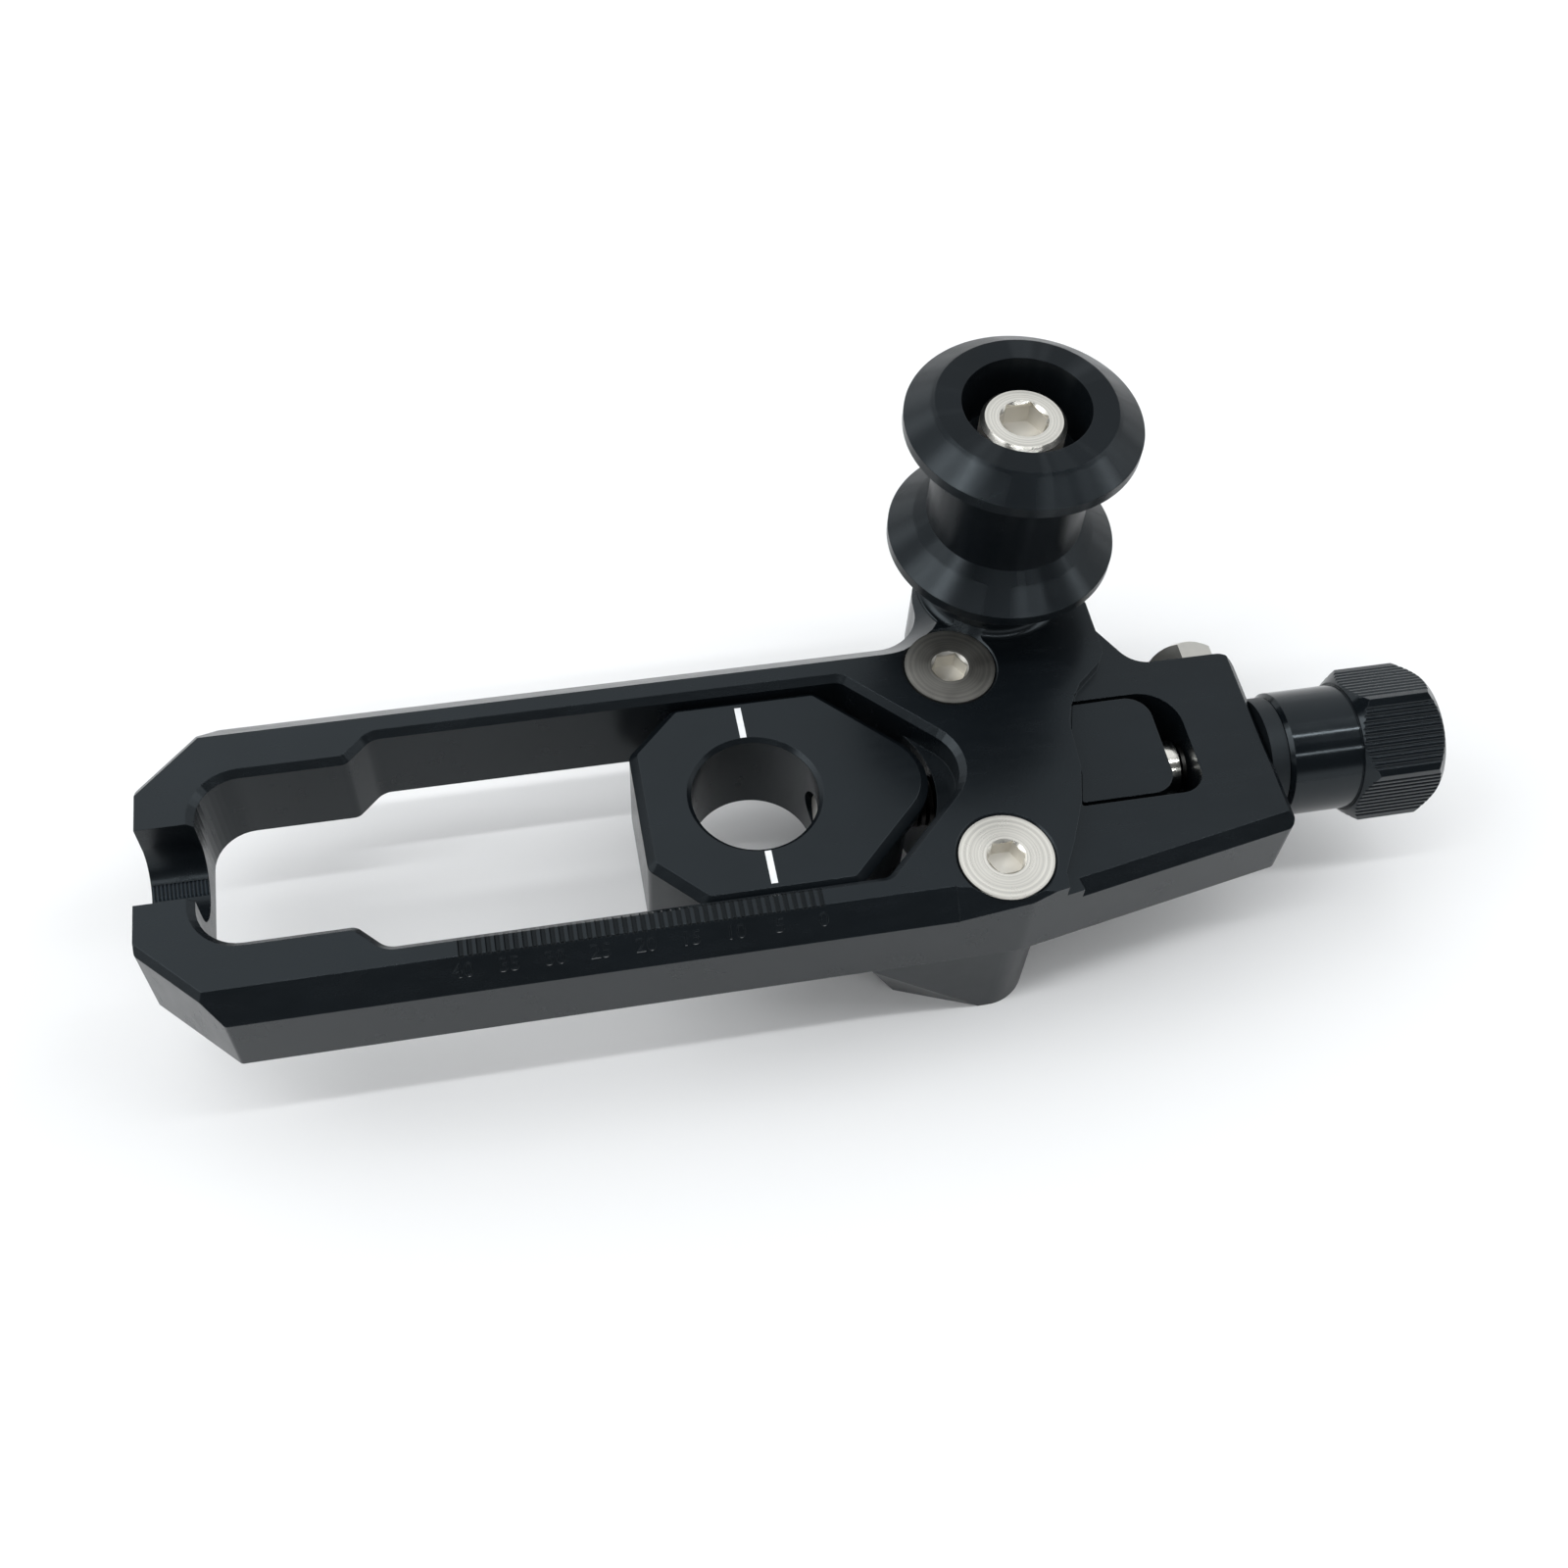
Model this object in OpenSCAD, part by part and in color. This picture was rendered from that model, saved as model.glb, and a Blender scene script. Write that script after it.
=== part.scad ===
// Chain adjuster for a motorcycle swingarm, lying on its back.
// Origin: on the axle axis, in the plane of the frame's back face.
// +X runs towards the adjusting knob, +Y away from the scale, +Z up and out of the face.

/* [Frame] */
// Thickness of the frame plate
frame_t = 12; // [11:0.5:15]
// Width over the two rails
frame_w = 39.5; // [38:0.5:46]
// Distance from the axle axis to the frame's left end
frame_left = 70; // [66:1:110]
// Length of the 45 degree corner cuts at the left end
corner_cut = 9; // [4:0.5:9.5]
// Long bevels on the outer top edges of the rails
rail_bevel = 3; // [1:0.25:3.5]
// Small bevel on the corner cuts
corner_bevel = 0.8; // [0.2:0.1:2]

/* [Slot] */
// Width of the long slot beside the axle block
slot_w = 28; // [24:0.5:30]
// Width of the slot's narrow left part
narrow_w = 21.8; // [14:0.2:22]
// Wall between the slot and the frame's left end
end_wall = 6.5; // [5:0.5:12]
// Distance from the axle axis to the step where the slot widens
step_x = 43.3; // [34:0.1:50]
// Radius of the corners where the slot reaches its full width
step_round = 2.5; // [1:0.25:4]
// Radius of the narrow part's inner corners
slot_round = 5; // [2:0.5:8]
// Radius at the tip of the slot's vee
vee_round = 6; // [4:0.25:7]
// Chamfer round the slot's top edge
slot_chamfer = 0.8; // [0.3:0.1:1]
// Width of the crescent lip at the tip of the vee
lip_w = 2.5; // [1.5:0.1:3]
// Radius of the lip's inner edge
lip_r = 12.8; // [12:0.1:14]
// Depth of the lip below the top face
lip_drop = 4; // [3:0.25:4.5]

/* [End notch] */
// Width of the round-bottomed notch in the left end
notch_w = 9.8; // [6:0.2:12]
// Metal left under the notch
notch_floor = 3; // [2:0.25:5]

/* [Axle block] */
// Diameter of the axle bore
axle_d = 15; // [12:0.5:17]
// Thickness of the axle block
block_t = 13.4; // [12:0.2:14]
// How far the block's face lies below the frame's face
block_drop = 1.3; // [0.5:0.1:2.5]
// Distance from the axle axis to the block's left end
block_left = 13.8; // [12:0.1:18]
// Width of the block's flat left end
block_end_w = 15.8; // [10:0.2:20]
// Radius of the block's nose
nose_round = 7; // [6:0.25:8]
// Chamfer round the block's top edge
block_chamfer = 1; // [0.4:0.1:1.3]
// Chamfer round the axle bore
bore_chamfer = 0.5; // [0.2:0.1:1]
// Width of the white index lines
index_w = 0.8; // [0.5:0.1:1.2]
// Gap between the white index lines and the block's chamfer
index_gap = 0.5; // [0.2:0.1:1]
// Depth of the grooves that hold the index lines
index_depth = 0.3; // [0.2:0.05:0.5]

/* [Adjusting rod and knob] */
// Diameter of the draw rod
rod_d = 6; // [5:0.5:6]
// Travel of the block towards the knob
travel_in = 3; // [1:1:3]
// Travel of the block away from the knob
travel_out = 13; // [4:1:16]
// Outer diameter of the knob's round collar
collar_d = 15.5; // [13:0.1:18]
// Length of the knob's round collar
collar_l = 9.2; // [6:0.2:14]
// Width across the flats of the knob's hexagon
knob_af = 16.5; // [13:0.5:18]
// Length of the knob's hexagon
knob_hex_l = 10.5; // [6:0.5:14]
// Distance between the grip grooves on the hexagon's sides
groove_pitch = 0.8; // [0.6:0.1:1.2]
// Depth of the grip grooves
groove_depth = 0.2; // [0.1:0.05:0.3]
// Diameter of the thrust washer
washer_d = 14.6; // [12:0.2:17]
// Thickness of the thrust washer
washer_t = 2.2; // [1:0.1:3]

/* [Head] */
// Depth of the head's face below the top face of the hub
head_drop = 1.8; // [1:0.1:2.5]
// Solid metal between the slot's vee and the pocket
hub_l = 15.6; // [13.6:0.2:20]
// Length of the pocket along the rod
pocket_l = 14.5; // [13:0.5:18]
// Width of the pocket
pocket_w = 15; // [13:0.5:16]
// Metal left under the pocket
pocket_floor = 1; // [0.6:0.1:1]
// Thickness of the wall between the pocket and the washer
head_wall = 9.3; // [8:0.1:12]
// Distance from the rod axis to the head's edge on the lock bolt's side
head_y = 12; // [11.2:0.1:13]
// Bevel on the head's lower edge
head_bevel = 1.6; // [0.5:0.1:2]
// Bevel on the head's end, beside the knob
head_end_bevel = 0.7; // [0.2:0.1:1]

/* [Guide] */
// Outer diameter of the steel guide bush
bush_d = 6.9; // [6.7:0.1:8]
// Length of the bush that stands out of its block
bush_out = 2.6; // [1:0.1:2.9]
// Width of the bush block
bush_block_w = 14; // [11:0.2:14.4]
// Gap between the bush block and the pocket's right wall
bush_block_gap = 3.5; // [3:0.1:5]

/* [Fasteners] */
// Diameter of the screws that hold the frame and the spool
screw_d = 6; // [5:0.5:6]
// Distance between the two countersunk screws
screw_span = 27.6; // [26:0.2:28.4]
// Diameter of the countersunk heads
csk_d = 11.7; // [10.5:0.1:12]
// Length of the countersunk screws
csk_l = 24; // [20:1:25]
// Distance across the flats of the countersunk screws' sockets
csk_socket = 4; // [3:0.5:4.5]
// Depth of the countersunk screws' sockets
csk_socket_l = 2.5; // [1.5:0.1:3]
// Diameter of the lock bolt
lock_d = 5; // [4:0.5:6]
// Distance across the flats of the lock bolt's head
lock_af = 8; // [7:0.5:10]
// Height of the lock bolt's head
lock_head_h = 4; // [2.5:0.1:5]
// Distance from the pocket to the lock bolt
lock_ahead = 5.1; // [4:0.1:6]
// Turn of the lock bolt's head, in degrees
lock_turn = 14; // [-30:1:30]

/* [Paddock spool] */
// Distance of the spool's axis beyond the countersunk screws
spool_ahead = 7.9; // [6.5:0.1:9]
// Distance of the spool's axis from the rod axis
spool_y = 25.7; // [24:0.1:28]
// Height of the boss that carries the spool, above the frame's face
boss_h = 6.5; // [4:0.5:10]
// Diameter of that boss
boss_d = 16; // [14:0.5:18]
// Radius of the frame's lug round the boss
lug_r = 9.4; // [9.2:0.1:11]
// Distance from the spool's axis to the lug's straight side
lug_side = 11.7; // [11:0.1:12.5]
// Diameter of the spool's flanges
spool_d = 27.5; // [24:0.5:32]
// Length of the spool
spool_l = 24.7; // [22:0.1:32]
// Diameter of the spool's neck
neck_d = 18.8; // [17:0.2:21]
// Diameter of the spool's flat end faces
face_d = 20.9; // [18:0.1:23]
// Thickness of the flanges at their rims
rim_t = 1.3; // [0.8:0.1:2]
// Height of the outer cones of the flanges
outer_cone_h = 2.4; // [1.5:0.1:3]
// Height of the inner cones of the flanges
inner_cone_h = 3.4; // [2:0.1:4]
// Diameter of the counterbore
counterbore_d = 14.9; // [11:0.1:16]
// Depth of the counterbore
counterbore_l = 8.2; // [7:0.1:10]
// Diameter of the spool bolt's head
cap_d = 10; // [9:0.1:10.5]
// Height of the spool bolt's head
cap_h = 6; // [5:0.1:6.5]
// Length of the spool bolt
cap_l = 30; // [26:1:32]
// Distance across the flats of the spool bolt's socket
cap_socket = 5; // [4:0.5:5.5]
// Depth of the spool bolt's socket
cap_socket_l = 3; // [2:0.1:4]

/* [Swingarm insert] */
// Depth of the insert behind the frame
insert_h = 14; // [13:0.5:20]
// Radius of the insert's round bosses
insert_boss_r = 5.7; // [5:0.1:5.9]
// How far the insert's legs reach along the slot at their root
insert_leg = 16; // [12:0.5:17]
// Slope of the legs' ends from upright, in degrees
insert_slope = 19; // [5:1:25]

/* [Hidden] */

// Clearances: a threaded or pressed pair, a turning pair, and the block in its slot
thread_gap = 0.02;
run_gap = 0.06;
slide_gap = 0.1;
face_gap = 0.1;
bolt_gap = 0.3;

$fn = 96;
arc_steps = 10;
over = 1;

black = [0.05, 0.055, 0.06];
steel = [0.75, 0.74, 0.72];
bright_steel = [0.85, 0.85, 0.82];
white = [0.95, 0.95, 0.95];

// Heights
half_w = frame_w / 2;
head_z = frame_t - head_drop;
block_top = frame_t - block_drop;
block_base = block_top - block_t;
axis_z = (block_top + block_base) / 2;
lip_z = frame_t - lip_drop;

// Stations along the rod, from the axle axis
slot_left = frame_left - end_wall;
block_half = slot_w / 2 - slide_gap;
vee_clear = 0.2;
vee_gap = travel_in + vee_clear;
nose_corner = 9.7;
nose_tip = nose_corner + block_half;
vee_tip = nose_tip + vee_gap;
vee_corner = vee_tip - slot_w / 2;
vee_end = vee_tip - vee_round * (sqrt(2) - 1);
lip_end = vee_end - lip_w;
lip_l = 5.2;
lip_start = lip_end - lip_l;
hub_inset = 1;
hub_end = vee_end + hub_l - hub_inset;
pocket_x = hub_end;
pocket_end = pocket_x + pocket_l;
head_end = pocket_end + head_wall;
washer_end = head_end + washer_t;
knob_x = washer_end + face_gap;
hex_x = knob_x + collar_l;
knob_end = hex_x + knob_hex_l;
bush_block_end = pocket_end - bush_block_gap;
bush_end = bush_block_end + bush_out;
rod_inset = [0.1, 1];
rod_start = axle_d / 2 + rod_inset[0];
rod_end = knob_end - rod_inset[1];
lock_x = pocket_end + lock_ahead;

// Screws beside the vee
screw_ahead = 2.3;
screw_x = vee_end + screw_ahead;
screw_y = screw_span / 2;

// Place and heights of the spool
spool_x = screw_x + spool_ahead;
spool_z = frame_t + boss_h;
spool_top = spool_z + spool_l;
cap_seat = spool_top - counterbore_l;

// Corners of the lower edge, which runs in towards the head
lower_corner_x = screw_x + 1.8;
head_low_y = -(screw_y - 0.4);

// A polygon with rounded corners: each corner is [x, y, radius], anticlockwise,
// and grow moves the whole outline outwards, or inwards where it is negative.
function unit(v) = v / norm(v);
function turn(a, b) = a[0] * b[1] - a[1] * b[0];
function corner(a, b, c, grow) =
    let (p = [b[0], b[1]],
         u = unit([a[0], a[1]] - p),
         v = unit([c[0], c[1]] - p),
         half = acos(max(-1, min(1, u * v))) / 2,
         out = turn(-u, v) > 0 ? 1 : -1,
         middle = p + unit(u + v) * b[2] / sin(half),
         r = b[2] + out * grow,
         mid_angle = atan2(-(u + v)[1], -(u + v)[0]),
         sweep = 90 - half)
    [for (i = [0:arc_steps])
        let (t = mid_angle + out * sweep * (2 * i / arc_steps - 1))
        middle + r * [cos(t), sin(t)]];
function rounded(pts, grow = 0) =
    let (n = len(pts))
    [for (i = [0:n - 1]) each corner(pts[(i + n - 1) % n], pts[i], pts[(i + 1) % n], grow)];

// A solid between two outlines that have the same number of points, each the same on
// both sides of the X axis. Its flat faces are cut into strips across that axis.
function strips(n) =
    [for (i = [0:ceil(n / 2) - 2])
        i + 1 == n - 2 - i ? [i, i + 1, n - 1 - i] : [i, i + 1, n - 2 - i, n - 1 - i]];
module loft(low, high, z0, z1) {
    n = len(low);
    polyhedron(
        points = concat([for (p = low) [p[0], p[1], z0]], [for (p = high) [p[0], p[1], z1]]),
        faces = concat(strips(n),
                       [for (s = strips(n)) [for (k = [len(s) - 1:-1:0]) n + s[k]]],
                       [for (i = [0:n - 1]) [i, n + i, n + (i + 1) % n, (i + 1) % n]]));
}

// A straight round hole or shaft along X, or along Y
module along_x(r, x0, x1, y = 0, z = axis_z) {
    translate([x0, y, z]) rotate([0, 90, 0]) cylinder(r = r, h = x1 - x0);
}
module along_y(r, y0, y1, x, z = axis_z) {
    translate([x, y0, z]) rotate([-90, 0, 0]) cylinder(r = r, h = y1 - y0);
}

// A hexagonal prism along Z, by its width across the flats
module hexagon(af, h) {
    cylinder(d = af / cos(30), h = h, $fn = 6);
}

// The slot: a narrow left part, a step to the wide part, and a vee towards the knob
step_rise = (slot_w - narrow_w) / 2;
slot_corners = [
    [-slot_left, -narrow_w / 2, slot_round],
    [-step_x - step_rise, -narrow_w / 2, 1.5],
    [-step_x, -slot_w / 2, step_round],
    [vee_corner, -slot_w / 2, 1.5],
    [vee_tip, 0, vee_round],
    [vee_corner, slot_w / 2, 1.5],
    [-step_x, slot_w / 2, step_round],
    [-step_x - step_rise, narrow_w / 2, 1.5],
    [-slot_left, narrow_w / 2, slot_round]];

// The lip's inner edge is an arc about a point on the rod axis
lip_centre = lip_end - lip_r;
module under_lip(shift, reach) {
    translate([lip_centre - shift, 0]) circle(r = lip_r);
    translate([-reach, -reach]) square([reach + lip_start - shift, 2 * reach]);
}
module slot_void(z0, z1) {
    translate([0, 0, lip_z]) linear_extrude(z1 - lip_z) polygon(rounded(slot_corners));
    translate([0, 0, z0]) linear_extrude(lip_z - z0) intersection() {
        polygon(rounded(slot_corners));
        under_lip(0, frame_left + over);
    }
}

// The frame's outline: rails, hub and head, with a lug that carries the spool. The fillet
// between the upper rail and the lug ends level with the spool's axis
lug_left = spool_x - lug_r;
lug_right = spool_x + lug_side;
lug_centre = lug_right - lug_r;
lug_top = spool_y + lug_r;
rail_fillet = spool_y - half_w;
fillet_x = lug_left - rail_fillet;
flare_l = 3.8;
flare_h = 6.8;
module frame_outline() {
    polygon(rounded([
        [-frame_left, -(half_w - corner_cut), 0.6],
        [-frame_left + corner_cut, -half_w, 0.6],
        [lower_corner_x, -half_w, 6],
        [head_end, head_low_y, 1],
        [head_end, head_y, 2],
        [lug_right + flare_l, head_y, 4],
        [lug_right, head_y + flare_h, 1],
        [lug_right, half_w + over, 0.1],
        [spool_x, half_w, 0.1],
        [-frame_left + corner_cut, half_w, 0.6],
        [-frame_left, half_w - corner_cut, 0.6]]));
    translate([spool_x, head_y]) square([lug_side, spool_y - head_y]);
    translate([spool_x, spool_y - over]) square([lug_centre - spool_x, lug_r + over]);
    for (x = [spool_x, lug_centre])
        translate([x, spool_y]) circle(r = lug_r);
    difference() {
        translate([fillet_x, half_w - over]) square([spool_x - fillet_x, rail_fillet + over]);
        translate([fillet_x, spool_y]) circle(r = rail_fillet);
    }
}

// The hub's raised face ends at a ridge that runs across in front of the pocket
ridge = [[-7.4, -30], [-6, -16.8], [-4, -13], [-1.7, -7.9], [-0.4, -3.1], [0, 3.3], [0.9, 5.8],
         [2.8, 8.8], [6.2, 11.7], [7.1, 13.2], [7.1, 60]];
module deck() {
    polygon(concat([[-frame_left - over, 60], [-frame_left - over, -30]],
                   [for (p = ridge) [pocket_x + p[0], p[1]]]));
}

// A 45 degree bevel along a straight top edge at height z. The edge starts at [x, y] and
// runs at an angle with the metal on its left. After its length, the bevel may run out.
module edge_bevel(x, y, z, angle, length, size, run = 0) {
    reach = frame_w / 2;
    translate([x, y, z - size]) rotate([0, 0, angle]) {
        rotate([45, 0, 0]) translate([0, -reach, 0]) cube([length + (run > 0 ? 0.4 : 0), 2 * reach, reach]);
        if (run > 0)
            intersection() {
                translate([length, 0, 0]) rotate([45, 0, 0]) rotate([0, -atan(size / run * sin(45)), 0])
                    translate([-reach, -reach, 0]) cube([3 * reach, 2 * reach, reach]);
                translate([length, -reach, -reach]) cube([run, 2 * reach, 2 * reach]);
            }
    }
}

// The same bevel round the fillet beside the lug, and round one of the lug's corners
module fillet_bevel() {
    reach = rail_bevel + over;
    translate([fillet_x, spool_y, frame_t - rail_bevel]) intersection() {
        translate([0, 0, -over]) cylinder(r1 = rail_fillet - over, r2 = rail_fillet + reach, h = reach + over);
        translate([0, -frame_w, -frame_t]) cube([frame_w, frame_w, 2 * frame_t]);
    }
}
module lug_bevel(x, side) {
    reach = rail_bevel + over;
    translate([x, spool_y, frame_t - rail_bevel]) difference() {
        translate([side < 0 ? -2 * lug_r : 0, 0, -over / 2]) cube([2 * lug_r, 2 * lug_r, reach]);
        translate([0, 0, -over]) cylinder(r1 = lug_r + over, r2 = lug_r - reach, h = reach + over);
    }
}
module outer_bevels() {
    cut_l = (corner_cut + 2 * over) * sqrt(2);
    // The lower rail's bevel fades out before its screw, and the lug's one beside the head
    rail_fade = 14;
    lug_fade = 5;
    fade_x = screw_x - rail_fade / 2;
    edge_bevel(-frame_left - over, -half_w, frame_t, 0, frame_left + over + fade_x, rail_bevel, rail_fade);
    edge_bevel(fillet_x, half_w, frame_t, 180, frame_left + frame_w, rail_bevel);
    edge_bevel(-frame_left - over, -half_w + corner_cut + over, frame_t, -45, cut_l, corner_bevel);
    edge_bevel(-frame_left + corner_cut + over, half_w + over, frame_t, -135, cut_l, corner_bevel);
    fillet_bevel();
    lug_bevel(spool_x, -1);
    edge_bevel(lug_centre, lug_top, frame_t, 180, lug_centre - spool_x, rail_bevel);
    lug_bevel(lug_centre, 1);
    mirror([0, 1, 0]) edge_bevel(lug_right, -spool_y, frame_t, 90, 0, rail_bevel, lug_fade);
}

// The bevels on the head's lower face
module head_bevels() {
    run = head_end - lower_corner_x;
    slope = atan((head_low_y + half_w) / run);
    lead = 6.5;
    start = lower_corner_x + lead;
    edge_bevel(start, -half_w + lead * tan(slope), head_z, slope, run, head_bevel);
    edge_bevel(head_end, head_low_y - over, head_z, 90, frame_w, head_end_bevel);
}

// The pocket: its left wall bends twice, at two heights along Y, and leans out towards both corners
pocket_bend = [-3.1, 3.3];
pocket_lean = [1.2, 1.8];
pocket_corners = [
    [pocket_x - pocket_lean[0], -pocket_w / 2, 0.3],
    [pocket_end, -pocket_w / 2, 3],
    [pocket_end, pocket_w / 2, 5],
    [pocket_x + pocket_lean[1], pocket_w / 2, 0.3],
    [pocket_x + 0.5, pocket_bend[1], 1],
    [pocket_x, pocket_bend[0], 1]];

// The boss under the spool, with a cove at its foot
module spool_boss() {
    cove = 1.4;
    translate([spool_x, spool_y, 0]) cylinder(d = boss_d, h = spool_z);
    translate([spool_x, spool_y, frame_t - 0.01]) rotate_extrude() difference() {
        square([boss_d / 2 + cove, cove]);
        translate([boss_d / 2 + cove, cove]) circle(r = cove);
    }
}

module countersink(y) {
    sink_r = csk_d / 2 + 0.1;
    hole_r = screw_d / 2 + bolt_gap;
    translate([screw_x, y, -over]) cylinder(r = hole_r, h = frame_t + 2 * over);
    translate([screw_x, y, frame_t - (sink_r - hole_r)])
        cylinder(r1 = hole_r, r2 = sink_r + over, h = sink_r - hole_r + over);
}

module end_notch() {
    r = notch_w / 2;
    x0 = -frame_left - over;
    x1 = -slot_left + over;
    along_x(r, x0, x1, 0, notch_floor + r);
    translate([x0, -r, notch_floor + r]) cube([x1 - x0, 2 * r, frame_t]);
}

// The plate at its two heights, with the bevels along its edges
module plate() {
    difference() {
        union() {
            linear_extrude(head_z) frame_outline();
            linear_extrude(frame_t) intersection() {
                frame_outline();
                deck();
            }
        }
        outer_bevels();
        head_bevels();
    }
}

module frame() {
    color(black) difference() {
        union() {
            plate();
            spool_boss();
        }
        slot_void(-over, frame_t + over);
        loft(rounded(slot_corners), rounded(slot_corners, slot_chamfer), frame_t - slot_chamfer, frame_t);
        end_notch();
        translate([0, 0, pocket_floor]) linear_extrude(frame_t) polygon(rounded(pocket_corners));
        // A groove in the pocket's floor takes the underside of the guide bush
        along_x(bush_d / 2 + run_gap, bush_start - run_gap, bush_end + run_gap);
        along_x(rod_d / 2 + run_gap, lip_end - over, pocket_x + 3);
        along_x(rod_d / 2 + run_gap, pocket_end - over, head_end + over);
        along_y(lock_d / 2 + thread_gap, rod_d / 2, head_y + over, lock_x);
        countersink(screw_y);
        countersink(-screw_y);
        translate([spool_x, spool_y, cap_seat - cap_l - over])
            cylinder(d = screw_d + 2 * thread_gap, h = spool_z - cap_seat + cap_l + 2 * over);
    }
}

// The axle block, with a vee-shaped nose that seats in the slot's vee
block_taper = block_half - block_end_w / 2;
block_round = 1.6;
block_corners = [
    [-block_left, -block_end_w / 2, block_round],
    [-block_left + block_taper, -block_half, block_round],
    [nose_corner, -block_half, block_round],
    [nose_tip, 0, nose_round],
    [nose_corner, block_half, block_round],
    [-block_left + block_taper, block_half, block_round],
    [-block_left, block_end_w / 2, block_round]];
index_in = axle_d / 2 + bore_chamfer;
index_l = block_half - block_chamfer - index_gap - index_in;
index_grow = 0.03;
module index_bars(w, l, h) {
    for (side = [-1, 1])
        translate([-w / 2, side * (index_in + index_l / 2) - l / 2, block_top - index_depth])
            cube([w, l, h]);
}
module axle_block() {
    nose_clear = 0.3;
    lip_clear = 0.4;
    edge_z = block_top - block_chamfer;
    color(black) difference() {
        union() {
            translate([0, 0, block_base])
                linear_extrude(edge_z - block_base) polygon(rounded(block_corners));
            loft(rounded(block_corners), rounded(block_corners, -block_chamfer), edge_z, block_top);
        }
        translate([0, 0, block_base - over]) cylinder(d = axle_d, h = block_t + 2 * over);
        translate([0, 0, block_top - bore_chamfer])
            cylinder(r1 = axle_d / 2, r2 = axle_d / 2 + bore_chamfer, h = bore_chamfer);
        translate([0, 0, block_base])
            cylinder(r1 = axle_d / 2 + bore_chamfer, r2 = axle_d / 2, h = bore_chamfer);
        // Under the nose the block is set back, so that it clears the lip
        translate([0, 0, block_base - over]) linear_extrude(lip_z + lip_clear - block_base + over) difference() {
            translate([lip_start - travel_in - nose_clear, -slot_w]) square([slot_w, 2 * slot_w]);
            under_lip(travel_in + nose_clear, over);
        }
        along_x(rod_d / 2 + thread_gap, axle_d / 2 - over, nose_tip);
        index_bars(index_w, index_l, index_depth + over);
    }
}

module index_marks() {
    color(white) index_bars(index_w - index_grow, index_l - index_grow, index_depth);
}

module draw_rod() {
    tip = 0.6;
    color(steel) translate([rod_start, 0, axis_z]) rotate([0, 90, 0]) {
        cylinder(r1 = rod_d / 2 - tip, r2 = rod_d / 2, h = tip);
        translate([0, 0, tip]) cylinder(d = rod_d, h = rod_end - rod_start - 2 * tip);
        translate([0, 0, rod_end - rod_start - tip]) cylinder(r1 = rod_d / 2, r2 = rod_d / 2 - tip, h = tip);
    }
}

bush_start = pocket_x + 1.5;
module guide_bush() {
    color(bright_steel) difference() {
        along_x(bush_d / 2, bush_start, bush_end);
        along_x(rod_d / 2 + run_gap, bush_start - over, bush_end + over);
    }
}

// The bush block's left side lies along the pocket's left wall
module bush_block() {
    seat = 0.05;
    side_y = bush_block_w / 2;
    half = pocket_w / 2;
    low_x = pocket_x - pocket_lean[0] * (side_y + pocket_bend[0]) / (half + pocket_bend[0]);
    high_x = pocket_x + 0.5 + (pocket_lean[1] - 0.5) * (side_y - pocket_bend[1]) / (half - pocket_bend[1]);
    color(black) difference() {
        translate([0, 0, pocket_floor]) linear_extrude(head_z - pocket_floor) polygon(rounded([
            [low_x + seat, -side_y, 0.3],
            [bush_block_end, -side_y, 3],
            [bush_block_end, side_y, 3],
            [high_x + seat, side_y, 0.3],
            [pocket_x + 0.5 + seat, pocket_bend[1], 1],
            [pocket_x + seat, pocket_bend[0], 1]]));
        along_x(rod_d / 2 + run_gap, pocket_x - over, bush_start + over);
        along_x(bush_d / 2 + thread_gap, bush_start, bush_block_end + over);
    }
}

module thrust_washer() {
    color(black) difference() {
        along_x(washer_d / 2, head_end, washer_end);
        along_x(rod_d / 2 + run_gap, head_end - over, washer_end + over);
    }
}

// One side of the knob's hexagon, from its first corner, with vee grooves for grip
groove_w = 0.5;
function grip_side(k) =
    let (a = 30 + 60 * k,
         out = [cos(a), sin(a)],
         along = [-sin(a), cos(a)],
         side = knob_af * tan(30),
         count = floor((side - 3 * groove_w) / groove_pitch))
    concat([out * knob_af / 2 - along * side / 2],
           [for (i = [0:count - 1]) for (q = [-1:1])
               let (t = (i - (count - 1) / 2) * groove_pitch + q * groove_w / 2)
               out * (knob_af / 2 - (q == 0 ? groove_depth : 0)) + along * t]);

module adjuster_knob() {
    edge = 0.5;
    hex_r = knob_af / 2 / cos(30);
    hex_edge = hex_r - knob_af / 2 + 0.2;
    color(black) translate([knob_x, 0, axis_z]) rotate([0, 90, 0]) difference() {
        union() {
            rotate_extrude() polygon([[0, 0], [collar_d / 2 - edge, 0], [collar_d / 2, edge],
                                      [collar_d / 2, collar_l], [0, collar_l]]);
            intersection() {
                translate([0, 0, collar_l]) linear_extrude(knob_hex_l)
                    polygon([for (k = [0:5]) each grip_side(k)]);
                rotate_extrude() polygon([[0, collar_l], [hex_r - hex_edge, collar_l],
                    [hex_r, collar_l + hex_edge], [hex_r, collar_l + knob_hex_l - hex_edge],
                    [hex_r - hex_edge, collar_l + knob_hex_l], [0, collar_l + knob_hex_l]]);
            }
        }
        translate([0, 0, -over]) cylinder(r = rod_d / 2 + run_gap, h = collar_l + knob_hex_l + 2 * over);
    }
}

module lock_bolt() {
    edge = 0.6;
    hex_r = lock_af / 2 / cos(30);
    tip_y = rod_d / 2 + 0.2;
    color(steel) {
        along_y(lock_d / 2, tip_y, head_y, lock_x);
        translate([lock_x, head_y, axis_z]) rotate([-90, 0, 0]) intersection() {
            rotate([0, 0, lock_turn]) hexagon(lock_af, lock_head_h);
            cylinder(r1 = hex_r + lock_head_h - edge, r2 = hex_r - edge, h = lock_head_h);
        }
    }
}

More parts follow.
